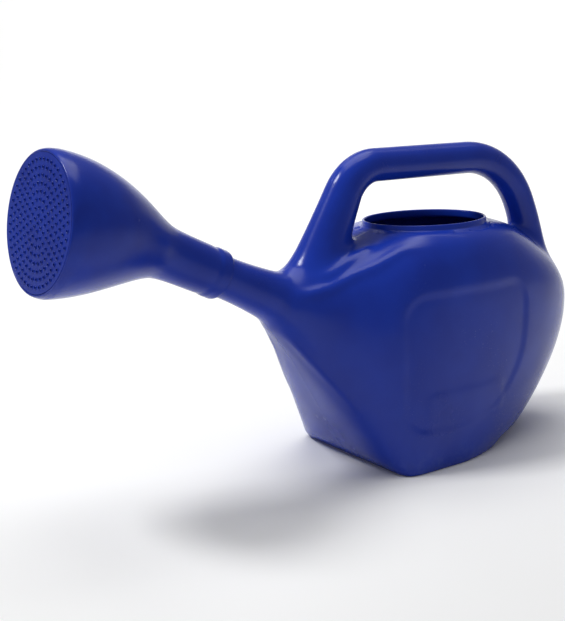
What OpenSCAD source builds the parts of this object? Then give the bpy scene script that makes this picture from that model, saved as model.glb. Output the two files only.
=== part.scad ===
// Watering can, moulded in one blue shell, with a trumpet rose pushed onto its spout.
// Frame: origin at the centre of the flat base, +Z up, spout toward -X, symmetric about Y = 0.

/* [Tank] */
// Length of the flat base
base_len = 232; // [200:1:260]
// Half of the tank's length at its fullest level
tank_half_len = 184; // [165:1:205]
// Width of the tank at its fullest level
tank_w = 174; // [150:1:200]
// Height of the top deck around the mouth
deck_h = 238; // [215:1:265]
// Thickness of the moulded wall
wall = 2.2; // [1.6:0.1:3]

/* [Mouth] */
// Length of the filling mouth
mouth_len = 138; // [110:1:150]
// Width of the filling mouth
mouth_w = 96; // [70:1:104]
// Height of the lip above the deck
lip_h = 6; // [3:0.5:10]
// Width of the lip round the mouth
lip_w = 5; // [3:0.5:7]

/* [Handle] */
// Thickness of the hand grip
grip_d = 34; // [26:0.5:38]
// Height of the centre of the grip above the deck
grip_rise = 65; // [55:1:85]
// Distance of the grip's front end behind the tank's foremost point
front_set_back = 91; // [80:1:100]
// Distance of the grip's rear end ahead of the tank's rearmost point
rear_set_back = 149; // [130:1:160]
// Thickness of the front leg, seen from the side, where it meets the tank
leg_depth = 48; // [36:1:60]
// Centre radius of the front bend
front_bend = 46; // [35:1:60]
// Centre radius of the rear bend
rear_bend = 98; // [70:1:115]
// Slope of the front leg
front_slope = 65; // [55:1:72]
// Slope of the rear leg
rear_slope = 63; // [52:1:68]

/* [Spout] */
// Slope of the spout above the horizontal
spout_slope = 25; // [20:1:30]
// Outer diameter of the spout where it leaves the tank
root_d = 54; // [48:1:62]
// Outer diameter of the straight tip that carries the rose
tip_d = 40; // [36:0.5:44]
// Length of the tapering part of the spout
taper_len = 48; // [35:1:60]
// Length of bare straight spout between the taper and the rose
bare_len = 34; // [20:1:60]
// How far the tip reaches into the rose's sleeve
cover_len = 44; // [30:1:60]

/* [Rose] */
// Diameter of the perforated face, over its rim
rose_d = 126; // [100:1:150]
// Length of the sleeve that goes over the spout tip
sleeve_len = 71; // [54:1:80]
// Length of the trumpet along its curved centre line
bell_len = 118; // [90:1:140]
// How far the trumpet turns down between the sleeve and the face
bell_turn = 16; // [2:1:20]
// Thickness of the rose's wall
rose_wall = 2.2; // [1.6:0.1:3]
// Radial gap between the sleeve and the spout tip
sleeve_gap = 0.6; // [0.4:0.1:1]
// Diameter of each hole in the face
hole_d = 2.2; // [1.5:0.1:2.4]
// Number of rings of holes round the central one
hole_rings = 8; // [4:1:9]

/* [Seal] */
// Length of the seal ring along the sleeve
seal_len = 6; // [4:0.5:8]
// Depth of the groove that the seal lies in
groove_depth = 2; // [1:0.1:2.5]

/* [Hidden] */
$fn = 64;
// Sides of the round shapes that are stretched over with hull()
hull_fn = 24;
// Radial clearance of parts that slide or turn on each other
fit = 0.1;
// Room left at the ends of the seal in its groove
end_gap = 0.3;
// A cut runs past a face by this much, so that no skin is left
past = 1;
// Wall of the bead over the seal's groove
bead_wall = 1.6;
// Radial room round the face in its seat
plate_gap = 0.3;
// Thickness of the perforated face
plate_t = 2.4;
// Width of the trumpet's rounded rim, and of the ledge behind the face
rim_w = 4;
ledge_w = 2;
// Plain band between the outer ring of holes and the rim
hole_margin = 6;

// Levels of the tank from the base up: [share of its height, share of the front reach, share of the
// rear reach, share of the half width, squareness of the front, squareness of the stern]
LEVELS = [
    [0.000, 0.00, 0.00, 0.980, 7.0, 1.45],
    [0.012, 0.07, 0.04, 0.992, 7.0, 1.48],
    [0.045, 0.20, 0.15, 0.996, 5.6, 1.54],
    [0.110, 0.40, 0.34, 1.000, 4.5, 1.64],
    [0.220, 0.63, 0.60, 1.000, 3.8, 1.75],
    [0.380, 0.85, 0.86, 1.000, 3.1, 1.88],
    [0.540, 0.98, 0.98, 1.000, 2.7, 1.92],
    [0.660, 1.00, 0.92, 0.995, 2.5, 1.92],
    [0.760, 0.90, 0.66, 0.985, 2.4, 1.92],
    [0.850, 0.64, 0.28, 0.950, 2.4, 1.92],
    [0.920, 0.32, -0.06, 0.880, 2.4, 1.92],
    [0.970, 0.00, -0.38, 0.780, 2.4, 1.92],
    [1.000, -0.32, -0.72, 0.660, 2.3, 1.92],
];
tank_points = 36;
// The fullest section is centred this far behind the base's centre
belly_x = 8;
// The widest place of a section, ahead of the base's centre
widest_x = -38;

// Mouth
mouth_x = -22;
mouth_fn = 40;
lip_top = deck_h + lip_h;
// The cut for the mouth starts this many walls below the deck
mouth_cut_walls = 4;

// Spout axis: it leaves the tank at the root point and rises toward -X
root_reach = 25;
root_drop = 59.5;
// The tank's skin runs out to a disc this far behind the spout's root
root_disc = 2;
taper_steps = 12;
tip_chamfer = 1;
root_x = -tank_half_len - root_reach;
root_z = deck_h - root_drop;

// Rose: the sleeve starts where the bare spout ends, and its bead holds the seal
sleeve_start = taper_len + bare_len;
sleeve_id = tip_d + 2 * sleeve_gap;
sleeve_od = sleeve_id + 2 * rose_wall;
groove_d = sleeve_id + 2 * groove_depth;
bead_d = groove_d + 2 * bead_wall;
// Distance of the groove from each end of the bead, and the bead's chamfer
groove_at = 3;
bead_chamfer = 1;
groove_len = seal_len + 2 * end_gap;
bead_len = groove_len + 2 * groove_at;
rose_r = rose_d / 2;
bell_radius = bell_len / (bell_turn * PI / 180);
bell_points = 48;
bell_steps = 16;
rim_steps = 4;
seat_r = rose_r - rim_w;
hole_pitch = (seat_r - hole_margin) / hole_rings;

// Handle: the straight grip, then an arc and a straight leg at each end
grip_r = grip_d / 2;
front_x = front_set_back - tank_half_len;
rear_x = tank_half_len - rear_set_back;
grip_z = deck_h + grip_rise;
front_leg = 40;
rear_leg = 34;
front_root = 50;
rear_root = 70;
// The rear stub heads this far into the tank, off the line of its leg
rear_set_in = 10;
// Growth of the front stub into the tank: seen from the side, and across
stub_deep = 1.15;
stub_wide = 1.25;
// Length of the discs that end a stub
stub_disc = 1;
handle_points = 32;
bend_steps = 7;
leg_steps = 3;
// Share of the front leg's extra thickness that it loses below its bend
leg_share = 0.6;

// Point on the spout axis, at a distance along it from the root
function along_spout(s) = [root_x - s * cos(spout_slope), 0, root_z + s * sin(spout_slope)];

// End of the bend and of the leg, as [x, z]; side is -1 at the front and 1 at the rear
function bend_end(x, side, r, slope) = [x + side * r * sin(slope), grip_z - r * (1 - cos(slope))];
function leg_end(x, side, r, slope, l) =
    bend_end(x, side, r, slope) + l * [side * cos(slope), -sin(slope)];

// One outline of the tank: a superellipse whose front and rear halves have their own length and power
function outline_r(a, front, rear, half, p_front, p_rear) =
    let (c = cos(a), s = sin(a), l = c < 0 ? front : rear, p = c < 0 ? p_front : p_rear)
    pow(pow(abs(c) / l, p) + pow(abs(s) / half, p), -1 / p);

function level_ring(v, inset) =
    let (
        front_edge = -base_len / 2 - v[1] * (tank_half_len - belly_x - base_len / 2),
        rear_edge = base_len / 2 + v[2] * (tank_half_len + belly_x - base_len / 2),
        z = inset + v[0] * (deck_h - 2 * inset),
        half = v[3] * tank_w / 2 - inset
    )
    [for (i = [0:tank_points - 1])
        let (
            a = i * 360 / tank_points,
            r = outline_r(a, widest_x - front_edge - inset, rear_edge - widest_x - inset, half, v[4], v[5])
        )
        [widest_x + r * cos(a), r * sin(a), z]];

// A closed solid through a stack of rings that all have n points
module loft(rings, n) {
    last = len(rings) - 1;
    points = [for (r = rings) for (p = r) p];
    sides = [for (j = [0:last - 1]) for (i = [0:n - 1])
        let (k = (i + 1) % n)
        [j * n + i, (j + 1) * n + i, (j + 1) * n + k, j * n + k]];
    bottom = [[for (i = [0:n - 1]) i]];
    top = [[for (i = [n - 1:-1:0]) last * n + i]];
    polyhedron(points = points, faces = concat(sides, bottom, top), convexity = 4);
}

module on_spout(s) {
    translate(along_spout(s)) rotate([0, -90 + spout_slope, 0]) children();
}

// The whole outside of the tank, or a copy of it set in by the given depth
module skin(inset) {
    hull() {
        loft([for (v = LEVELS) level_ring(v, inset)], tank_points);
        on_spout(-root_disc) cylinder(d = root_d - 2 * inset, h = root_disc, $fn = hull_fn);
    }
}

module mouth_shape(grow, from, to) {
    translate([mouth_x, 0, from]) linear_extrude(height = to - from)
        scale([mouth_len / 2 + grow, mouth_w / 2 + grow]) circle(r = 1, $fn = mouth_fn);
}

// Places children at a distance down a handle leg, with +Z along the leg; side is -1 at the front
module on_leg(x, side, r, slope, s) {
    p = bend_end(x, side, r, slope) + s * [side * cos(slope), -sin(slope)];
    translate([p[0], 0, p[1]]) rotate([0, side * (90 + slope), 0]) children();
}

module on_front_leg(s) { on_leg(front_x, -1, front_bend, front_slope, s) children(); }
module on_rear_leg(s) { on_leg(rear_x, 1, rear_bend, rear_slope, s) children(); }

module stub_end(inset) { cylinder(r = grip_r - inset, h = stub_disc, $fn = hull_fn); }

// Stubs that swell from the ends of the handle legs into the tank
module front_root(inset, extra) {
    hull() {
        on_front_leg(front_leg - extra) scale([leg_depth / grip_d, 1, 1]) stub_end(inset);
        on_front_leg(front_leg + front_root + extra)
            scale([stub_deep * leg_depth / grip_d, stub_wide, 1]) stub_end(inset);
    }
}

module rear_root(inset, extra) {
    hull() {
        on_rear_leg(rear_leg - extra) stub_end(inset);
        on_rear_leg(rear_leg + rear_root) translate([-rear_set_in, 0, 0])
            sphere(r = grip_r - inset, $fn = hull_fn);
    }
}

module tank() {
    color("#24408e") difference() {
        union() {
            skin(0);
            mouth_shape(lip_w, deck_h - lip_h, lip_top);
            front_root(0, 0);
            rear_root(0, 0);
        }
        skin(wall);
        mouth_shape(0, deck_h - mouth_cut_walls * wall, lip_top + past);
        front_root(wall, past);
        rear_root(wall, past);
        on_spout(-root_disc) cylinder(d = root_d - 2 * wall, h = root_disc + past);
    }
}

// The handle's centre line as [x, z, direction, thickness seen from the side], from the front leg up
function handle_line() = concat(
    [for (i = [0:leg_steps]) let (u = i / (leg_steps + 1), l = front_leg * (1 - u),
            p = leg_end(front_x, -1, front_bend, front_slope, l))
        [p[0], p[1], front_slope, leg_depth + (grip_d - leg_depth) * u * leg_share]],
    [for (i = [0:bend_steps]) let (u = i / bend_steps, a = front_slope * (1 - u),
            p = bend_end(front_x, -1, front_bend, a))
        [p[0], p[1], a, grip_d + (leg_depth - grip_d) * (1 - leg_share) * (1 - u)]],
    [for (i = [0:bend_steps]) let (a = rear_slope * i / bend_steps, p = bend_end(rear_x, 1, rear_bend, a))
        [p[0], p[1], -a, grip_d]],
    [for (i = [1:leg_steps]) let (p = leg_end(rear_x, 1, rear_bend, rear_slope, rear_leg * i / leg_steps))
        [p[0], p[1], -rear_slope, grip_d]]
);

// An oval outline square to the line, at a place of the centre line, set in by the given depth
function grip_ring(p, inset) = [for (i = [0:handle_points - 1])
    let (a = i * 360 / handle_points, deep = p[3] / 2 - inset)
    [p[0] - deep * cos(a) * sin(p[2]), (grip_r - inset) * sin(a), p[1] + deep * cos(a) * cos(p[2])]];

// A hollow tube through outer and inner rings of n points, with flat ring ends
module tube(outer, inner, n) {
    rows = len(outer);
    skins = concat(outer, inner);
    points = [for (ring = skins) for (p = ring) p];
    walls = [for (k = [0, 1]) for (j = [0:rows - 2]) for (i = [0:n - 1])
        let (a = (k * rows + j) * n, b = a + n, m = (i + 1) % n)
        k == 0 ? [a + i, a + m, b + m, b + i] : [a + m, a + i, b + i, b + m]];
    ends = [for (e = [0, 1]) for (i = [0:n - 1])
        let (a = e * (rows - 1) * n, b = a + rows * n, m = (i + 1) % n)
        e == 0 ? [a + m, a + i, b + i, b + m] : [a + i, a + m, b + m, b + i]];
    polyhedron(points = points, faces = concat(walls, ends), convexity = 6);
}

// The hollow handle: front leg, front bend, straight grip, rear bend, rear leg
module handle() {
    line = handle_line();
    color("#24408e") tube(
        [for (p = line) grip_ring(p, 0)],
        [for (p = line) grip_ring(p, wall)],
        handle_points
    );
}

// Radius of the spout's outside at a share u of its taper
function taper_r(u) = tip_d / 2 + (root_d - tip_d) / 2 * pow(1 - u, 2);

module spout() {
    taper = [for (i = [0:taper_steps]) [taper_r(i / taper_steps), taper_len * i / taper_steps]];
    tip_at = sleeve_start + cover_len;
    color("#24408e") on_spout(0) rotate_extrude() polygon(concat(
        taper,
        [[tip_d / 2, tip_at - tip_chamfer], [tip_d / 2 - tip_chamfer, tip_at], [tip_d / 2 - wall, tip_at]],
        [for (i = [taper_steps:-1:0]) [taper[i][0] - wall, taper[i][1]]]
    ));
}

// Place on the trumpet's centre line at a distance from the sleeve, and its direction there
function bell_turned(l) = spout_slope - bell_turn * l / bell_len;
function bell_point(l) =
    along_spout(sleeve_start + sleeve_len)
    + bell_radius * [sin(bell_turned(l)) - sin(spout_slope), 0, cos(bell_turned(l)) - cos(spout_slope)];

// Places children on the trumpet's centre line, with +Z along it
module on_trumpet(l) {
    translate(bell_point(l)) rotate([0, -90 + bell_turned(l), 0]) children();
}

// A round outline square to the trumpet's centre line
function bell_ring(l, r) = [for (i = [0:bell_points - 1])
    let (a = i * 360 / bell_points, t = bell_turned(l))
    bell_point(l) + r * [cos(a) * sin(t), -sin(a), cos(a) * cos(t)]];

// The same, behind the face and parallel to it
function face_ring(depth, r) =
    let (t = bell_turned(bell_len), back = [cos(t), 0, -sin(t)])
    [for (p = bell_ring(bell_len, r)) p + depth * back];

// Radius of the trumpet's outside: an S from the neck out to the rim
function bell_r(l) = sleeve_od / 2 + (rose_r - sleeve_od / 2) * sin(90 * l / bell_len);

// The sleeve, with a bead whose groove holds the seal
module rose_sleeve() {
    color("#24408e") on_spout(sleeve_start) rotate_extrude() polygon([
        [sleeve_id / 2, 0], [bead_d / 2 - bead_chamfer, 0], [bead_d / 2, bead_chamfer],
        [bead_d / 2, bead_len - bead_chamfer], [sleeve_od / 2, bead_len + bead_chamfer],
        [sleeve_od / 2, sleeve_len], [sleeve_id / 2, sleeve_len],
        [sleeve_id / 2, groove_at + groove_len], [groove_d / 2, groove_at + groove_len],
        [groove_d / 2, groove_at], [sleeve_id / 2, groove_at]
    ]);
}

// The trumpet: a hollow that opens out from the sleeve, with a ledge and a seat for the face
module rose_bell() {
    deep = bell_len - plate_t - 2 * ledge_w;
    outer_steps = bell_steps + rim_steps;
    outer = [for (i = [0:outer_steps]) let (l = bell_len * i / outer_steps) bell_ring(l, bell_r(l))];
    inner = concat(
        [for (i = [0:bell_steps]) let (l = deep * i / bell_steps) bell_ring(l, bell_r(l) - rose_wall)],
        [face_ring(plate_t + ledge_w, seat_r - ledge_w), face_ring(plate_t, seat_r - ledge_w)],
        [face_ring(plate_t, seat_r), face_ring(0, seat_r)]
    );
    color("#24408e") tube(outer, inner, bell_points);
}

// The flat face with a central hole and rings of holes round it
module rose_plate() {
    color("#24408e") on_trumpet(bell_len) translate([0, 0, -plate_t]) difference() {
        cylinder(r = seat_r - plate_gap, h = plate_t);
        for (k = [0:hole_rings])
            for (i = [0:max(6 * k, 1) - 1])
                rotate([0, 0, i * 360 / max(6 * k, 1)]) translate([k * hole_pitch, 0, -past])
                    cylinder(d = hole_d, h = plate_t + 2 * past);
    }
}

module rose_seal() {
    color("#22252b") on_spout(sleeve_start + groove_at + end_gap) difference() {
        cylinder(d = groove_d - 2 * fit, h = seal_len);
        translate([0, 0, -past]) cylinder(d = tip_d + 2 * fit, h = seal_len + 2 * past);
    }
}

tank();
handle();
spout();
rose_sleeve();
rose_bell();
rose_plate();
rose_seal();
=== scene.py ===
# A blow-moulded watering can: one seamless blue shell and a trumpet rose that pulls off its spout.
# Shapes are worked out in millimetres in the CAD frame, and go into the meshes in metres.
import math
import bmesh
import bpy
import numpy as np
import openvdb
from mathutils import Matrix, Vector


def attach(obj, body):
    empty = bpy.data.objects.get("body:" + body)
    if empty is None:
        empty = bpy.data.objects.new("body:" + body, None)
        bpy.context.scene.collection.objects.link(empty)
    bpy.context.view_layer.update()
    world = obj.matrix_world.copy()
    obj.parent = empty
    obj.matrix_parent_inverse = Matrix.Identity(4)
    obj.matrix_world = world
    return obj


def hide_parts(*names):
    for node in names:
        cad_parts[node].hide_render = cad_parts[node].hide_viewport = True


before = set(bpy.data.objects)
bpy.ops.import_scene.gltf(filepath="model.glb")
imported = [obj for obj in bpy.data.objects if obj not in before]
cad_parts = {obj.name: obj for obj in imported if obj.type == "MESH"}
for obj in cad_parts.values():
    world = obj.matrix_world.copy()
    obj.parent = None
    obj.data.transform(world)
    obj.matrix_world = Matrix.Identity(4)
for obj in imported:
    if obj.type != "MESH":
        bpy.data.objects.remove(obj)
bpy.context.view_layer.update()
print("frame loaded")

mm = 0.001
sideways = np.array([0.0, 1.0, 0.0])


def smoothStep(a, b, x):
    # 0 below a, 1 above b, and a smooth S between them
    t = np.clip((x - a) / (b - a), 0.0, 1.0)
    return t * t * (3.0 - 2.0 * t)


def hexToLinear(code):
    # sRGB hex to the linear colour that shaders use
    rgb = [int(code[i:i + 2], 16) / 255 for i in (1, 3, 5)]
    return [c / 12.92 if c <= 0.04045 else ((c + 0.055) / 1.055) ** 2.4 for c in rgb] + [1.0]


def gridFaces(rows, cols, closeRows=False):
    # quads of a grid whose columns run round in a circle; closeRows joins the last row to the first
    j, i = np.meshgrid(np.arange(rows if closeRows else rows - 1), np.arange(cols), indexing="ij")
    j, i = j.ravel(), i.ravel()
    nextRow, nextCol = (j + 1) % rows, (i + 1) % cols
    return np.stack([j * cols + i, j * cols + nextCol, nextRow * cols + nextCol, nextRow * cols + i], 1)


def addPiece(name, points, faces):
    # points in millimetres
    mesh = bpy.data.meshes.new(name)
    mesh.from_pydata((np.asarray(points) * mm).tolist(), [], np.asarray(faces).tolist())
    mesh.shade_smooth()
    piece = bpy.data.objects.new(name, mesh)
    bpy.context.scene.collection.objects.link(piece)
    return piece


def slopeAxes(degrees):
    # the direction that rises toward -X at a slope, and the upward direction square to it
    a = np.radians(degrees)
    along = np.stack([-np.cos(a), 0 * a, np.sin(a)], -1)
    up = np.stack([np.sin(a), 0 * a, np.cos(a)], -1)
    return along, up


def carriedRings(path, up, deep, wide, count):
    # an oval outline carried along a path in the plane y = 0: centre + deep*cos(a)*up + wide*sin(a)*sideways
    a = np.linspace(0, 2 * math.pi, count, endpoint=False)[None, :, None]
    deep, wide = np.asarray(deep)[:, None, None], np.asarray(wide)[:, None, None]
    return path[:, None, :] + deep * np.cos(a) * up[:, None, :] + wide * np.sin(a) * sideways


spoutShape = {
    "slope": 25, "rootX": -209, "rootZ": 178.5, "rootD": 54, "tipD": 40,
    "taper": 48, "bare": 34, "cover": 44, "wall": 2.2, "flare": 74,
}
spoutAlong, spoutUp = slopeAxes(spoutShape["slope"])
spoutRoot = np.array([spoutShape["rootX"], 0.0, spoutShape["rootZ"]])
sleeveAt = spoutShape["taper"] + spoutShape["bare"]
tipAt = sleeveAt + spoutShape["cover"]

# the camera stands ahead of the can, a little above its handle, and looks down at its near side
cameraPlace = {"at": (-862.8, -867.7, 420.0), "turn": -37, "down": 13, "lens": 1150 / 565 * 36}


def placeCamera():
    data = bpy.data.cameras.new("studioCamera")
    data.sensor_fit, data.sensor_width, data.lens = "HORIZONTAL", 36, cameraPlace["lens"]
    data.clip_start, data.clip_end = 0.05, 40
    camera = bpy.data.objects.new("studioCamera", data)
    bpy.context.scene.collection.objects.link(camera)
    camera.location = Vector(cameraPlace["at"]) * mm
    camera.rotation_euler = (math.radians(90 - cameraPlace["down"]), 0, math.radians(cameraPlace["turn"]))
    bpy.context.scene.camera = camera


placeCamera()
print("camera placed")

tankShape = {
    "baseLen": 232, "halfLen": 184, "width": 174, "deck": 238, "wall": 2.2, "bellyX": 8, "widestX": -38,
    # share of the height, front reach, rear reach, half width, squareness of the front and of the stern
    "levels": [
        [0.000, 0.00, 0.00, 0.980, 12.0, 1.45],
        [0.045, 0.20, 0.15, 0.996, 7.0, 1.54],
        [0.110, 0.40, 0.34, 1.000, 4.5, 1.64],
        [0.220, 0.63, 0.60, 1.000, 3.8, 1.75],
        [0.380, 0.85, 0.86, 1.000, 3.1, 1.88],
        [0.540, 0.98, 0.98, 1.000, 2.7, 1.92],
        [0.660, 1.00, 0.92, 0.995, 2.5, 1.92],
        [0.760, 0.90, 0.66, 0.985, 2.4, 1.92],
        [0.850, 0.64, 0.28, 0.950, 2.4, 1.92],
        [0.920, 0.32, -0.06, 0.880, 2.4, 1.92],
        [0.970, 0.00, -0.38, 0.780, 2.4, 1.92],
        [1.000, -0.32, -0.72, 0.660, 2.3, 1.92],
    ],
}
handleShape = {
    "gripD": 34, "gripZ": 303, "gripLen": 128, "gripX": -29, "legDepth": 48,
    "frontBend": 46, "rearBend": 98, "frontSlope": 65, "rearSlope": 63,
    "frontLeg": 40, "rearLeg": 34, "intoTank": 50,
}
mouthShape = {"x": -22, "len": 143, "width": 101, "lipH": 6, "lipW": 2.5}
panelShape = {
    "x": -31, "z": 113, "len": 172, "height": 138, "round": 26, "depth": 1.7, "edge": 2.8, "cut": -40,
    "padX": -36, "padZ": 64, "padLen": 112, "padHeight": 34, "padRound": 7, "padRise": 0.9, "padEdge": 2.0,
}
# creases on the near side, each as places in the CAD frame; the far side has the same ones
creaseShape = {
    "shoulder": {"high": 3.6, "wide": 4.6, "line": [
        (-76.6, -64.9, 228.7), (-102.6, -55.8, 225.2), (-132.3, -50.1, 211.9), (-156.0, -42.4, 203.7),
        (-176.3, -38.4, 194.8), (-201.3, -31.6, 189.0), (-222, -24, 190)]},
    "handleFoot": {"high": 2.6, "wide": 4.4, "line": [
        (-118.0, -27.0, 233.0), (-128.0, -27.0, 226.0), (-145.5, -29.0, 218.7), (-171.5, -31.0, 205.9),
        (-190.0, -25.0, 201.5)]},
    "prow": {"high": 2.6, "wide": 5.0, "line": [
        (-232.0, -10.0, 160.5), (-212.3, -19.6, 142.2), (-196.5, -27.6, 123.4), (-182.4, -38.1, 105.3),
        (-166.0, -50.0, 84.0), (-155.0, -60.0, 62.0)]},
}
blendShape = {"spoutFillet": 30, "handleFillet": 22, "skinVoxel": 2.6, "liningVoxel": 4.0}


def throughLevels(t, heights, values):
    # Hermite curve through a column of the level table, with slopes taken from the neighbours
    slopes = np.gradient(values, heights)
    k = np.clip(np.searchsorted(heights, t, side="right") - 1, 0, len(heights) - 2)
    h = heights[k + 1] - heights[k]
    u = (t - heights[k]) / h
    return ((2 * u**3 - 3 * u**2 + 1) * values[k] + (u**3 - 2 * u**2 + u) * h * slopes[k]
            + (3 * u**2 - 2 * u**3) * values[k + 1] + (u**3 - u**2) * h * slopes[k + 1])


def tankRings(count, around):
    # superellipse at each height: r = (|cos a / reach|^p + |sin a / half|^p)^(-1/p), where the front
    # half and the stern each have their own reach and power
    s, table = tankShape, np.array(tankShape["levels"])
    t = np.linspace(0, 1, count)[:, None]
    front, rear, half, frontPower, rearPower = (throughLevels(t, table[:, 0], table[:, c]) for c in range(1, 6))
    frontX = -s["baseLen"] / 2 - front * (s["halfLen"] - s["bellyX"] - s["baseLen"] / 2)
    rearX = s["baseLen"] / 2 + rear * (s["halfLen"] + s["bellyX"] - s["baseLen"] / 2)
    a = np.linspace(0, 2 * math.pi, around, endpoint=False)[None, :]
    reach = np.where(np.cos(a) < 0, s["widestX"] - frontX, rearX - s["widestX"])
    p = np.where(np.cos(a) < 0, frontPower, rearPower)
    r = (np.abs(np.cos(a) / reach) ** p + np.abs(np.sin(a) / (half * s["width"] / 2)) ** p) ** (-1 / p)
    z = np.broadcast_to(t * s["deck"], r.shape)
    return np.stack([s["widestX"] + r * np.cos(a), r * np.sin(a), z], 2).reshape(-1, 3)


def tautSkin(points):
    # the tightest skin round the points, as triangles
    mesh = bpy.data.meshes.new("taut")
    mesh.from_pydata(points.tolist(), [], [])
    bm = bmesh.new()
    bm.from_mesh(mesh)
    bmesh.ops.convex_hull(bm, input=bm.verts)
    bmesh.ops.delete(bm, geom=[v for v in bm.verts if not v.link_faces], context="VERTS")
    bmesh.ops.triangulate(bm, faces=bm.faces)
    bmesh.ops.recalc_face_normals(bm, faces=bm.faces)
    bm.to_mesh(mesh)
    bm.free()
    verts, tris = np.empty(len(mesh.vertices) * 3), np.empty(len(mesh.polygons) * 3, np.int32)
    mesh.vertices.foreach_get("co", verts)
    mesh.polygons.foreach_get("vertices", tris)
    bpy.data.meshes.remove(mesh)
    return verts.reshape(-1, 3), tris.reshape(-1, 3), None


def cappedTube(rings):
    # quads along the rings, and a fan of triangles over each end
    rows, around = rings.shape[:2]
    i = np.arange(around)
    first, last, j = rows * around, rows * around + 1, (rows - 1) * around
    k = (i + 1) % around
    fans = np.vstack([np.stack([k, i, 0 * i + first], 1), np.stack([j + i, j + k, 0 * i + last], 1)])
    points = np.vstack([rings.reshape(-1, 3), rings[0].mean(0), rings[-1].mean(0)])
    return points, fans, gridFaces(rows, around)


def handleRings(around):
    # front leg, front bend, straight grip, rear bend and rear leg; the legs run on into the tank
    s = handleShape
    frontX, rearX = s["gripX"] - s["gripLen"] / 2, s["gripX"] + s["gripLen"] / 2

    def bend(x, side, r, degrees):
        a = np.radians(degrees)
        return np.stack([x + side * r * np.sin(a), 0 * a, s["gripZ"] - r * (1 - np.cos(a))], 1)

    def leg(x, side, r, slope, lengths):
        a = math.radians(slope)
        return bend(x, side, r, np.array([slope])) + np.outer(lengths, [side * math.cos(a), 0, -math.sin(a)])

    frontLengths = np.linspace(s["frontLeg"] + s["intoTank"], 4, 24)
    rearLengths = np.linspace(4, s["rearLeg"] + s["intoTank"], 24)
    frontAngles, rearAngles = np.linspace(s["frontSlope"], 0, 24), np.linspace(0, s["rearSlope"], 28)
    grip = np.linspace(frontX, rearX, 26)[1:-1]
    path = np.vstack([
        leg(frontX, -1, s["frontBend"], s["frontSlope"], frontLengths),
        bend(frontX, -1, s["frontBend"], frontAngles),
        np.stack([grip, 0 * grip, 0 * grip + s["gripZ"]], 1),
        bend(rearX, 1, s["rearBend"], rearAngles),
        leg(rearX, 1, s["rearBend"], s["rearSlope"], rearLengths),
    ])
    # the rear leg turns in a little before it meets the tank
    path[-24:] += np.outer(np.linspace(0, 1, 24) ** 2, [-9.0, 0, -2.0])
    # the front leg grows deeper all the way down from the grip
    bendLen = s["frontBend"] * math.radians(s["frontSlope"])
    down = np.concatenate([frontLengths + bendLen, s["frontBend"] * np.radians(frontAngles), 0 * path[48:, 0]])
    share = down / (s["frontLeg"] + bendLen)
    deep = s["gripD"] / 2 + (s["legDepth"] - s["gripD"]) / 2 * np.minimum(share, 1.4) ** 1.3
    wide = s["gripD"] / 2 + 2.5 * np.minimum(share, 1.4) ** 3
    steps = np.gradient(path, axis=0)
    steps /= np.linalg.norm(steps, axis=1)[:, None]
    up = np.stack([-steps[:, 2], 0 * steps[:, 0], steps[:, 0]], 1)
    return carriedRings(path, up, deep, wide, around)


def spoutRings(around):
    # radius = tip + (root - tip) * (1 - u)^1.7 over the flare, then straight to the tip and beyond
    p = spoutShape
    s = np.linspace(-30, tipAt + 10, 70)
    u = np.clip(s / p["flare"], -0.3, 1)
    r = p["tipD"] / 2 + (p["rootD"] - p["tipD"]) / 2 * (1 - u) ** 1.7
    path = spoutRoot + s[:, None] * spoutAlong
    return carriedRings(path, np.repeat(spoutUp[None], len(s), 0), r, r, around)


def distanceField(points, tris, quads, low, size, voxel):
    # signed distance to a closed surface, sampled on a box of voxels
    grid = openvdb.FloatGrid.createLevelSetFromPolygons(
        np.ascontiguousarray((points - low) / voxel, np.float32),
        triangles=np.ascontiguousarray(tris, np.uint32),
        quads=None if quads is None else np.ascontiguousarray(quads, np.uint32),
        halfWidth=26 / voxel)
    field = np.zeros(size, np.float32)
    grid.copyToArray(field)
    return field * voxel


def blurred(field, passes):
    # 1-2-1 blur along each axis, which takes out the facets
    for axis in (0, 1, 2) * passes:
        field = 0.5 * field + 0.25 * (np.roll(field, 1, axis) + np.roll(field, -1, axis))
    return field


def smoothMin(a, b, k):
    # the lower of two distances, rounded over k where they meet
    h = np.maximum(k - np.abs(a - b), 0) / k
    return np.minimum(a, b) - h * h * h * k / 6


def roundedRect(u, v, length, height, r):
    # signed distance to a rectangle with round corners
    qu, qv = np.abs(u) - length / 2 + r, np.abs(v) - height / 2 + r
    return np.hypot(np.maximum(qu, 0), np.maximum(qv, 0)) + np.minimum(np.maximum(qu, qv), 0) - r


def creaseRise(x, y, z, crease):
    # how far a crease stands up: high * exp(-(distance to its line / wide)^2), fading at both ends
    line = np.array(crease["line"])
    near, along = np.full(np.broadcast_shapes(x.shape, y.shape, z.shape), 1e9, np.float32), 0
    for k, (a, b) in enumerate(zip(line[:-1], line[1:])):
        ab = b - a
        t = np.clip(((x - a[0]) * ab[0] + (y - a[1]) * ab[1] + (z - a[2]) * ab[2]) / (ab @ ab), 0, 1)
        d = (x - a[0] - t * ab[0]) ** 2 + (y - a[1] - t * ab[1]) ** 2 + (z - a[2] - t * ab[2]) ** 2
        along = np.where(d < near, (k + t) / (len(line) - 1), along)
        near = np.minimum(near, d)
    fade = smoothStep(0, 0.3, along) * smoothStep(1, 0.75, along)
    return crease["high"] * fade * np.exp(-near / crease["wide"] ** 2)


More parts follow.
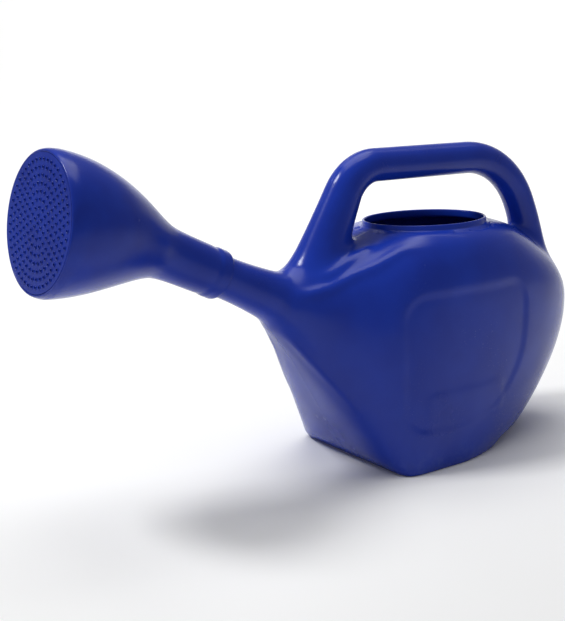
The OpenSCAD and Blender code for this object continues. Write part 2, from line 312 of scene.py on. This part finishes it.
def shellField(voxel):
    # tank, spout and handle run into each other with fillets, as in one blown parison
    low, high = np.array([-352.0, -100.0, -12.0]), np.array([212.0, 100.0, 334.0])
    size = tuple(int(v) for v in np.ceil((high - low) / voxel))
    a = np.linspace(0, 2 * math.pi, 64, endpoint=False)[:, None]
    spoutRing = spoutRoot + spoutShape["rootD"] / 2 * (np.cos(a) * spoutUp + np.sin(a) * sideways)
    tank = distanceField(*tautSkin(np.vstack([tankRings(70, 240), spoutRing])), low, size, voxel)
    spout = distanceField(*cappedTube(spoutRings(72)), low, size, voxel)
    handle = distanceField(*cappedTube(handleRings(72)), low, size, voxel)
    x, y, z = np.ogrid[:size[0], :size[1], :size[2]]
    x, y, z = low[0] + voxel * x, low[1] + voxel * y, low[2] + voxel * z
    softly = smoothStep(5, 22, z)
    tank += softly * (blurred(tank, 2) - tank)
    # panels pressed into both sides, each with a pad left standing for a label
    p = panelShape
    panel = -smoothMin(-roundedRect(x - p["x"], z - p["z"], p["len"], p["height"], p["round"]),
                       (z - x + p["cut"]) / math.sqrt(2), 40)
    pad = roundedRect(x - p["padX"], z - p["padZ"], p["padLen"], p["padHeight"], p["padRound"])
    inPanel = 1 - smoothStep(-p["edge"], p["edge"], panel)
    inPad = 1 - smoothStep(-p["padEdge"], p["padEdge"], pad)
    tank = tank + smoothStep(30, 45, np.abs(y)) * (p["depth"] * inPanel - p["padRise"] * inPad)
    body = smoothMin(tank, spout, blendShape["spoutFillet"])
    body = smoothMin(body, handle, blendShape["handleFillet"])
    for crease in creaseShape.values():
        body = body - creaseRise(x, -np.abs(y), z, crease)
    # the base is hollow inside a standing rim
    foot = roundedRect(x + 4, y, 200, 132, 40)
    body = body + 3.0 * (1 - smoothStep(-6, 6, foot)) * (1 - smoothStep(4, 12, z))
    return body + softly * (blurred(body, 1) - body), low


def openedSkin(voxel, level, mouthGrow, tip, tipR, outward):
    # the surface at a depth of the field, opened at the mouth and at the tip, with both rims set true
    field, low = shellField(voxel)
    grid = openvdb.FloatGrid()
    grid.copyFromArray(np.ascontiguousarray(field, np.float32))
    points, tris, quads = grid.convertToPolygons(isovalue=level, adaptivity=0.0)
    points = points.astype(float) * voxel + low
    m, deck = mouthShape, tankShape["deck"]
    share = np.hypot((points[:, 0] - m["x"]) / (m["len"] / 2 + mouthGrow), points[:, 1] / (m["width"] / 2 + mouthGrow))
    s = (points - spoutRoot) @ spoutAlong
    gone = ((share < 1) & (np.abs(points[:, 2] - deck) < 14)) | (s > tip)
    rim = np.zeros(len(points), bool)
    kept = []
    for faces in (tris, quads):
        cut = gone[faces].any(1)
        rim[faces[cut].ravel()] = True
        kept.append(faces[~cut] if outward else faces[~cut][:, ::-1])
    mouthRim = rim & ~gone & (s < 0)
    tipRim = rim & ~gone & (s > 0)
    points[mouthRim, 0] = m["x"] + (points[mouthRim, 0] - m["x"]) / share[mouthRim]
    points[mouthRim, 1] /= share[mouthRim]
    off = points[tipRim] - spoutRoot - s[tipRim, None] * spoutAlong
    off *= tipR / np.linalg.norm(off, axis=1)[:, None]
    points[tipRim] = spoutRoot + tip * spoutAlong + off
    return points, kept


def lipRings():
    # the turned-up lip: a profile of [outside the mouth, height] carried round the mouth's ellipse
    m, deck = mouthShape, tankShape["deck"]
    top, w = deck + m["lipH"], m["lipW"]
    a = np.linspace(0, math.pi, 9)
    roll = np.stack([w / 2 + w / 2 * np.cos(a), top - w / 2 + w / 2 * np.sin(a)], 1)
    inside = deck - tankShape["wall"]
    profile = np.vstack([[w + 2.6, deck + 0.05], [w + 1.2, deck + 0.45], [w + 0.3, deck + 1.5], roll[1:],
                         [0, deck], [0.15, inside + 0.6], [0.8, inside + 0.05]])
    a = np.linspace(0, 2 * math.pi, 200, endpoint=False)
    x = m["x"] + (m["len"] / 2 + profile[:, :1]) * np.cos(a)
    y = (m["width"] / 2 + profile[:, :1]) * np.sin(a)
    return np.stack([x, y, np.broadcast_to(profile[:, 1:], x.shape)], 2)


def tipRings():
    # the cut end of the spout: a rounded profile of [radius, distance from the end]
    r, w = spoutShape["tipD"] / 2, spoutShape["wall"]
    profile = np.array([[r, 1.4], [r - 0.15, 0.6], [r - 0.7, 0.1], [r - w + 0.6, 0.1], [r - w + 0.1, 0.6], [r - w, 1.4]])
    path = spoutRoot + (tipAt - profile[:, 1:]) * spoutAlong
    return carriedRings(path, np.repeat(spoutUp[None], len(path), 0), profile[:, 0], profile[:, 0], 72)


def openRims(bm):
    # every open rim of the mesh, with its centre and its mean radius
    left = {e for e in bm.edges if e.is_boundary}
    rims = []
    while left:
        edge = min(left, key=lambda e: e.index)
        rim, end = [], edge.verts[0]
        while edge:
            left.discard(edge)
            rim.append(edge)
            end = edge.other_vert(end)
            edge = next((e for e in end.link_edges if e in left), None)
        at = np.array([v.co[:] for e in rim for v in e.verts])
        rims.append((rim, at.mean(0), np.linalg.norm(at - at.mean(0), axis=1).mean()))
    return rims


def makeShell():
    deck, wall, r = tankShape["deck"], tankShape["wall"], spoutShape["tipD"] / 2
    lip, tip = lipRings(), tipRings()
    parts = [
        openedSkin(blendShape["skinVoxel"], 0.0, mouthShape["lipW"] + 4.5, tipAt - 3, r, False),
        openedSkin(blendShape["liningVoxel"], -wall, 3.0, tipAt - 4, r - spoutShape["wall"], True),
        (lip.reshape(-1, 3), [gridFaces(*lip.shape[:2])]),
        (tip.reshape(-1, 3), [gridFaces(*tip.shape[:2])]),
    ]
    starts = np.cumsum([0] + [len(points) for points, faces in parts])
    faces = [f.tolist() for start, part in zip(starts, parts) for f in [g + start for g in part[1]]]
    mesh = bpy.data.meshes.new("wateringCanShell")
    mesh.from_pydata(np.vstack([p[0] for p in parts]).tolist(), [], sum(faces, []))
    bm = bmesh.new()
    bm.from_mesh(mesh)
    bmesh.ops.delete(bm, geom=[v for v in bm.verts if not v.link_faces], context="VERTS")
    bm.edges.index_update()
    rims = openRims(bm)
    # from the widest rim in: outer skin, outside of the strip, its inside, lining
    for atTip in (False, True):
        group = sorted([rim for rim in rims if (rim[1][0] < -200) == atTip], key=lambda rim: -rim[2])
        print("rims to join:", [round(float(rim[2]), 1) for rim in group])
        bmesh.ops.bridge_loops(bm, edges=group[0][0] + group[1][0])
        bmesh.ops.bridge_loops(bm, edges=group[2][0] + group[3][0])
    bmesh.ops.recalc_face_normals(bm, faces=bm.faces)
    bmesh.ops.scale(bm, vec=(mm, mm, mm), verts=bm.verts)
    print("open edges left:", sum(e.is_boundary for e in bm.edges), "faces:", len(bm.faces))
    bm.to_mesh(mesh)
    bm.free()
    mesh.shade_smooth()
    piece = bpy.data.objects.new("wateringCanShell", mesh)
    bpy.context.scene.collection.objects.link(piece)
    return piece


shell = makeShell()
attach(shell, "shell")
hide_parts("tank", "handle", "spout")
print("shell made")

roseShape = {
    "d": 126, "sleeveLen": 71, "bellLen": 118, "bellTurn": 16, "wall": 2.2, "sleeveId": 41.2,
    "beadD": 47.6, "beadLen": 12.6, "grooveD": 45.2, "grooveAt": 3, "grooveLen": 6.6,
    "rimW": 4, "ledgeW": 2, "plateT": 2.4, "squareLen": 6, "around": 128,
    "neckEase": 12, "rimTurn": 10, "rimRound": 2.6,
}
holeShape = {"rings": 8, "pitch": 6.625, "d": 2.2, "nubD": 4.2, "nubH": 0.8, "sides": 10}


def onRosePath(w):
    # straight through the sleeve, then an arc of the given turn through the trumpet; the last few
    # millimetres are straight again, so that the rim and the seat are parallel to the face
    p = roseShape
    radius, slope0 = p["bellLen"] / math.radians(p["bellTurn"]), math.radians(spoutShape["slope"])
    neck = spoutRoot + (sleeveAt + p["sleeveLen"]) * spoutAlong
    l = w - p["sleeveLen"]
    square = p["bellLen"] - p["squareLen"]
    turned = slope0 - np.clip(np.where(l > square, p["bellLen"], l), 0, p["bellLen"]) / radius
    bowed = slope0 - np.clip(l, 0, square) / radius
    place = neck + radius * np.stack([np.sin(bowed) - math.sin(slope0), 0 * l, np.cos(bowed) - math.cos(slope0)], -1)
    along, up = slopeAxes(np.degrees(turned))
    return place + np.minimum(l, 0)[:, None] * spoutAlong + np.maximum(l - square, 0)[:, None] * along, up


def bellRadius(l):
    # neck + (rim - neck) * sin(90 * soft / length), where soft is the distance l eased in around the
    # neck, (l + sqrt(l^2 + ease^2)) / 2, so that the sleeve runs into the trumpet without an edge
    p = roseShape
    neck = p["sleeveId"] / 2 + p["wall"]
    soft = (l + np.sqrt(l * l + p["neckEase"] ** 2)) / 2
    return neck + (p["d"] / 2 - neck) * np.sin(math.pi / 2 * np.clip(soft / p["bellLen"], 0, 1))


def makeRoseBody():
    # one closed profile of [distance along the rose, radius] carried along its path: up the outside
    # from the bead to the rolled rim, then back down the seat, the ledge, the bore and the groove
    p = roseShape
    neck, bore, face = p["sleeveId"] / 2 + p["wall"], p["sleeveId"] / 2, p["sleeveLen"] + p["bellLen"]
    beadR, beadLen = p["beadD"] / 2, p["beadLen"]
    # the bead swells smoothly over the groove; the rim turns in over a long ellipse to the flat face
    w = np.linspace(2.0, beadLen + 4, 22)
    swell = smoothStep(-1.5, 3.0, w) * smoothStep(beadLen + 4, beadLen - 2.5, w)
    bead = np.stack([w, neck + (beadR - neck) * swell], 1)
    a = np.linspace(0, math.pi / 2, 5)[1:]
    lead = np.stack([2.0 - 2.0 * np.sin(a), bead[0, 1] - 1.6 + 1.6 * np.cos(a)], 1)[::-1]
    l = np.concatenate([np.linspace(beadLen + 7 - p["sleeveLen"], -14, 10), np.linspace(-11, p["bellLen"] - p["rimTurn"], 60)])
    outside = np.stack([p["sleeveLen"] + l, bellRadius(l)], 1)
    turn, curl, rim = p["rimTurn"], p["rimRound"], outside[-1, 1]
    a = np.linspace(math.pi / 2, 0, 14)[1:]
    roll = np.stack([face - turn + turn * np.cos(a), rim - curl + curl * np.sin(a)], 1)
    seat, ledge = p["d"] / 2 - p["rimW"], p["d"] / 2 - p["rimW"] - p["ledgeW"]
    back = p["plateT"] + 0.1
    a = np.linspace(math.pi / 2, 0, 5)
    roll = np.vstack([roll, np.stack([face - 0.6 + 0.6 * np.sin(a), seat + 0.6 - 0.6 * np.cos(a)], 1)])
    inL = np.linspace(p["bellLen"] - p["plateT"] - 2 * p["ledgeW"], 0, 40)
    inside = np.stack([p["sleeveLen"] + inL, bellRadius(inL) - p["wall"]], 1)
    g0, g1, gr = p["grooveAt"], p["grooveAt"] + p["grooveLen"], p["grooveD"] / 2
    profile = np.vstack([
        [[0, bore + 0.4]], lead, bead, outside, roll,
        [[face - back + 0.3, seat], [face - back, seat - 0.3], [face - back, ledge + 0.3], [face - back - 0.3, ledge],
         [face - back - p["ledgeW"], ledge]],
        inside, [[40, bore], [g1 + 0.3, bore], [g1, bore + 0.3], [g1, gr], [g0, gr], [g0, bore + 0.3],
                 [g0 - 0.3, bore], [0.4, bore]],
    ])
    path, up = onRosePath(profile[:, 0])
    rings = carriedRings(path, up, profile[:, 1], profile[:, 1], p["around"])
    return addPiece("roseTrumpet", rings.reshape(-1, 3), gridFaces(*rings.shape[:2], closeRows=True))


rose = makeRoseBody()
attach(rose, "rose")
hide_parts("rose_sleeve", "rose_bell")
print("rose made")


def makeHoleNubs():
    # a small raised collar round each hole: holes sit at ring * pitch, six more on each ring
    h, p = holeShape, roseShape
    ring = np.repeat(np.arange(1, h["rings"] + 1), 6 * np.arange(1, h["rings"] + 1))
    turn = np.concatenate([np.arange(6 * k) / (6 * k) for k in range(1, h["rings"] + 1)]) * 2 * math.pi
    across, out = np.append(0, ring * h["pitch"] * np.cos(turn)), np.append(0, ring * h["pitch"] * np.sin(turn))
    face, up = onRosePath(np.array([p["sleeveLen"] + p["bellLen"]]))
    along, up = slopeAxes(spoutShape["slope"] - p["bellTurn"])
    centres = face[0] + across[:, None] * up + out[:, None] * sideways
    bore, foot, top = h["d"] / 2 + 0.03, h["nubD"] / 2, h["nubH"]
    profile = np.array([[bore, -0.3], [bore, top - 0.25], [bore + 0.3, top], [foot - 0.5, top * 0.7], [foot, -0.3]])
    a = np.linspace(0, 2 * math.pi, h["sides"], endpoint=False)
    spokes = np.cos(a)[:, None] * up + np.sin(a)[:, None] * sideways
    nub = profile[:, None, :1] * spokes + profile[:, None, 1:] * along
    points = (centres[:, None, :] + nub.reshape(1, -1, 3)).reshape(-1, 3)
    one = gridFaces(len(profile), h["sides"], closeRows=True)[:, ::-1]
    faces = (one[None] + np.arange(len(centres))[:, None, None] * nub.shape[0] * nub.shape[1]).reshape(-1, 4)
    return addPiece("roseHoleCollars", points, faces)


collars = makeHoleNubs()
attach(collars, "rose")
print("hole collars made")


def addNode(tree, kind, inputs=None, **settings):
    # adds a node, gives it its settings, and links or sets its inputs by name or number
    node = tree.nodes.new(kind)
    for key, value in settings.items():
        setattr(node, key, value)
    for key, value in (inputs or {}).items():
        if isinstance(value, bpy.types.NodeSocket):
            tree.links.new(value, node.inputs[key])
        else:
            node.inputs[key].default_value = value
    return node


def startMaterial(name):
    material = bpy.data.materials.new(name)
    material.use_nodes = True
    tree = material.node_tree
    tree.nodes.clear()
    where = addNode(tree, "ShaderNodeTexCoord").outputs["Object"]
    return material, tree, where


def noiseAt(tree, where, sizeMm, detail=2.0, rough=0.5, distort=0.0):
    # noise whose blotches are about this many millimetres across
    return addNode(tree, "ShaderNodeTexNoise", {"Vector": where, "Scale": 1 / (sizeMm * mm), "Detail": detail,
                                                "Roughness": rough, "Distortion": distort}).outputs[0]


def ramp(tree, value, low, high, toLow=0.0, toHigh=1.0):
    node = addNode(tree, "ShaderNodeMapRange", {"Value": value, "From Min": low, "From Max": high, "To Min": toLow,
                                                "To Max": toHigh})
    node.clamp = True
    return node.outputs[0]


def mixColours(tree, share, first, second):
    node = addNode(tree, "ShaderNodeMix", {0: share, 6: first, 7: second}, data_type="RGBA")
    return node.outputs[2]


def mathNode(tree, operation, first, second=0.0):
    return addNode(tree, "ShaderNodeMath", {0: first, 1: second}, operation=operation).outputs[0]


blowMoulded = {
    "base": "#1636a8", "deep": "#132e98", "scuff": "#2f50b8", "dust": "#5064ac", "ior": 1.54,
    "rough": (0.2, 0.27), "blotchMm": 55, "peelMm": 1.5, "wallWaveMm": 26, "scuffMm": 2.4,
}
injectionMoulded = {
    "base": "#1533a0", "deep": "#122b90", "scuff": "#2c4cb0", "dust": "#5064ac", "ior": 1.5,
    "rough": (0.2, 0.27), "blotchMm": 30, "peelMm": 0.9, "wallWaveMm": 34, "scuffMm": 2.0,
}


def bluePlastic(name, look, partingLine, baseGrime):
    material, tree, where = startMaterial(name)
    blotch = noiseAt(tree, where, look["blotchMm"], 3)
    colour = mixColours(tree, ramp(tree, blotch, 0.3, 0.7), hexToLinear(look["base"]), hexToLinear(look["deep"]))
    # fine scuffs: thin streaks of stretched noise, kept to a few worn patches
    streaks = addNode(tree, "ShaderNodeMapping", {"Vector": where, "Rotation": (0.4, 0.9, 0.3), "Scale": (1, 9, 1.4)})
    scratch = ramp(tree, noiseAt(tree, streaks.outputs[0], look["scuffMm"], 5, 0.6), 0.62, 0.72)
    worn = ramp(tree, noiseAt(tree, where, 70, 2), 0.48, 0.68)
    scuffed = mathNode(tree, "MULTIPLY", scratch, worn)
    colour = mixColours(tree, mathNode(tree, "MULTIPLY", scuffed, 0.14), colour, hexToLinear(look["scuff"]))
    spread = addNode(tree, "ShaderNodeSeparateXYZ", {"Vector": where})
    if baseGrime:
        # dried soil and rubbed plastic round the foot, fading out a few centimetres up
        low = mathNode(tree, "MULTIPLY", ramp(tree, spread.outputs["Z"], 0.0, 0.03, 1, 0),
                       ramp(tree, noiseAt(tree, where, 9, 5, 0.65), 0.42, 0.72))
        colour = mixColours(tree, mathNode(tree, "MULTIPLY", low, 0.3), colour, hexToLinear(look["dust"]))
    peel = noiseAt(tree, where, look["peelMm"], 2)
    wave = noiseAt(tree, where, look["wallWaveMm"], 1, 0.4)
    roughness = ramp(tree, mathNode(tree, "ADD", blotch, mathNode(tree, "MULTIPLY", scuffed, 0.9)), 0.35, 1.2,
                     look["rough"][0], look["rough"][1] + 0.12)
    normal = addNode(tree, "ShaderNodeBump", {"Height": wave, "Strength": 0.35, "Distance": 0.0006}).outputs[0]
    normal = addNode(tree, "ShaderNodeBump", {"Height": peel, "Strength": 0.25, "Distance": 0.00006,
                                              "Normal": normal}).outputs[0]
    normal = addNode(tree, "ShaderNodeBump", {"Height": scuffed, "Strength": 0.05, "Distance": 0.00003, "Normal": normal},
                     invert=True).outputs[0]
    if partingLine:
        # the thin ridge where the two halves of the mould met, all round the plane y = 0
        off = mathNode(tree, "ABSOLUTE", spread.outputs["Y"])
        ridge = ramp(tree, off, 0.0003, 0.0011, 1, 0)
        normal = addNode(tree, "ShaderNodeBump", {"Height": ridge, "Strength": 0.5, "Distance": 0.0003,
                                                  "Normal": normal}).outputs[0]
    shader = addNode(tree, "ShaderNodeBsdfPrincipled", {"Base Color": colour, "Roughness": roughness, "Normal": normal,
                                                        "IOR": look["ior"], "Specular IOR Level": 0.25})
    addNode(tree, "ShaderNodeOutputMaterial", {"Surface": shader.outputs[0]})
    return material


def nitrileRubber():
    # moulded nitrile rubber: matt near-black with a faint bloom and a fine grain
    material, tree, where = startMaterial("mouldedNitrileRubber")
    bloom = ramp(tree, noiseAt(tree, where, 6, 4), 0.4, 0.75)
    colour = mixColours(tree, bloom, hexToLinear("#1d2024"), hexToLinear("#33373b"))
    grain = noiseAt(tree, where, 0.5, 3)
    normal = addNode(tree, "ShaderNodeBump", {"Height": grain, "Strength": 0.3, "Distance": 0.00005}).outputs[0]
    shader = addNode(tree, "ShaderNodeBsdfPrincipled", {
        "Base Color": colour, "Roughness": ramp(tree, bloom, 0, 1, 0.55, 0.72), "Normal": normal, "IOR": 1.52})
    addNode(tree, "ShaderNodeOutputMaterial", {"Surface": shader.outputs[0]})
    return material


def giveMaterial(piece, material):
    if not piece.data.materials:
        piece.data.materials.append(material)
    piece.material_slots[0].material = material


shellPlastic = bluePlastic("blowMouldedBluePolyethylene", blowMoulded, True, True)
rosePlastic = bluePlastic("injectionMouldedBluePolypropylene", injectionMoulded, False, False)
giveMaterial(shell, shellPlastic)
for piece in (rose, collars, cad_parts["rose_plate"]):
    giveMaterial(piece, rosePlastic)
giveMaterial(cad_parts["rose_seal"], nitrileRubber())
print("materials made")

studio = {
    "floor": "#fafafa", "reach": 4.0, "back": 2.2, "rise": 2.4, "sweep": 1.4, "world": 0.24,
    # name: [place in metres, aimed at, width, height, watts]
    "lights": {
        "keyLight": [(-1.15, 0.45, 1.7), (-0.1, 0, 0.15), 0.42, 0.42, 19],
        "topLight": [(0.1, 0.3, 2.2), (0, 0, 0.1), 1.6, 1.6, 21],
        "backdropLight": [(0.9, 1.2, 2.3), (2.2, 2.9, 0.5), 3.0, 1.0, 62],
    },
}


def makeFloor():
    # a flat floor that sweeps up into a backdrop, square to the camera's view
    p = studio
    s = np.concatenate([np.linspace(-2.0, p["back"], 20), p["back"] + np.linspace(0, p["rise"], 30)[1:]])
    a = np.clip((s - p["back"]) / p["sweep"], 0, math.pi / 2)
    deep = np.minimum(s, p["back"]) + p["sweep"] * np.sin(a)
    high = p["sweep"] * (1 - np.cos(a)) + np.maximum(s - p["back"] - p["sweep"] * math.pi / 2, 0)
    turn = math.radians(cameraPlace["turn"])
    away, side = np.array([-math.sin(turn), math.cos(turn)]), np.array([math.cos(turn), math.sin(turn)])
    w = np.linspace(-p["reach"], p["reach"], 9)
    flat = deep[:, None, None] * away + w[None, :, None] * side
    points = np.concatenate([flat, np.broadcast_to(high[:, None, None], flat.shape[:2] + (1,))], 2) / mm
    j, i = np.meshgrid(np.arange(len(s) - 1), np.arange(len(w) - 1), indexing="ij")
    k = (j * len(w) + i).ravel()
    floor = addPiece("studioFloor", points.reshape(-1, 3), np.stack([k, k + 1, k + len(w) + 1, k + len(w)], 1))
    material, tree, where = startMaterial("matPaintedFloor")
    tone = mixColours(tree, noiseAt(tree, where, 300, 2), hexToLinear(p["floor"]), hexToLinear("#f5f5f4"))
    shader = addNode(tree, "ShaderNodeBsdfPrincipled", {"Base Color": tone, "Roughness": 0.9})
    addNode(tree, "ShaderNodeOutputMaterial", {"Surface": shader.outputs[0]})
    giveMaterial(floor, material)


def makeLights():
    for name, (place, aim, width, height, watts) in studio["lights"].items():
        data = bpy.data.lights.new(name, "AREA")
        data.shape, data.size, data.size_y, data.energy = "RECTANGLE", width, height, watts
        light = bpy.data.objects.new(name, data)
        bpy.context.scene.collection.objects.link(light)
        light.location = place
        light.rotation_euler = (Vector(aim) - Vector(place)).to_track_quat("-Z", "Y").to_euler()
    world = bpy.data.worlds.new("softWhite")
    world.use_nodes = True
    world.node_tree.nodes["Background"].inputs["Color"].default_value = (1, 1, 1, 1)
    world.node_tree.nodes["Background"].inputs["Strength"].default_value = studio["world"]
    bpy.context.scene.world = world
    # plain display colours, so that the deep blue stays saturated and the floor stays white
    bpy.context.scene.view_settings.view_transform = "Standard"


makeFloor()
makeLights()
print("studio made")
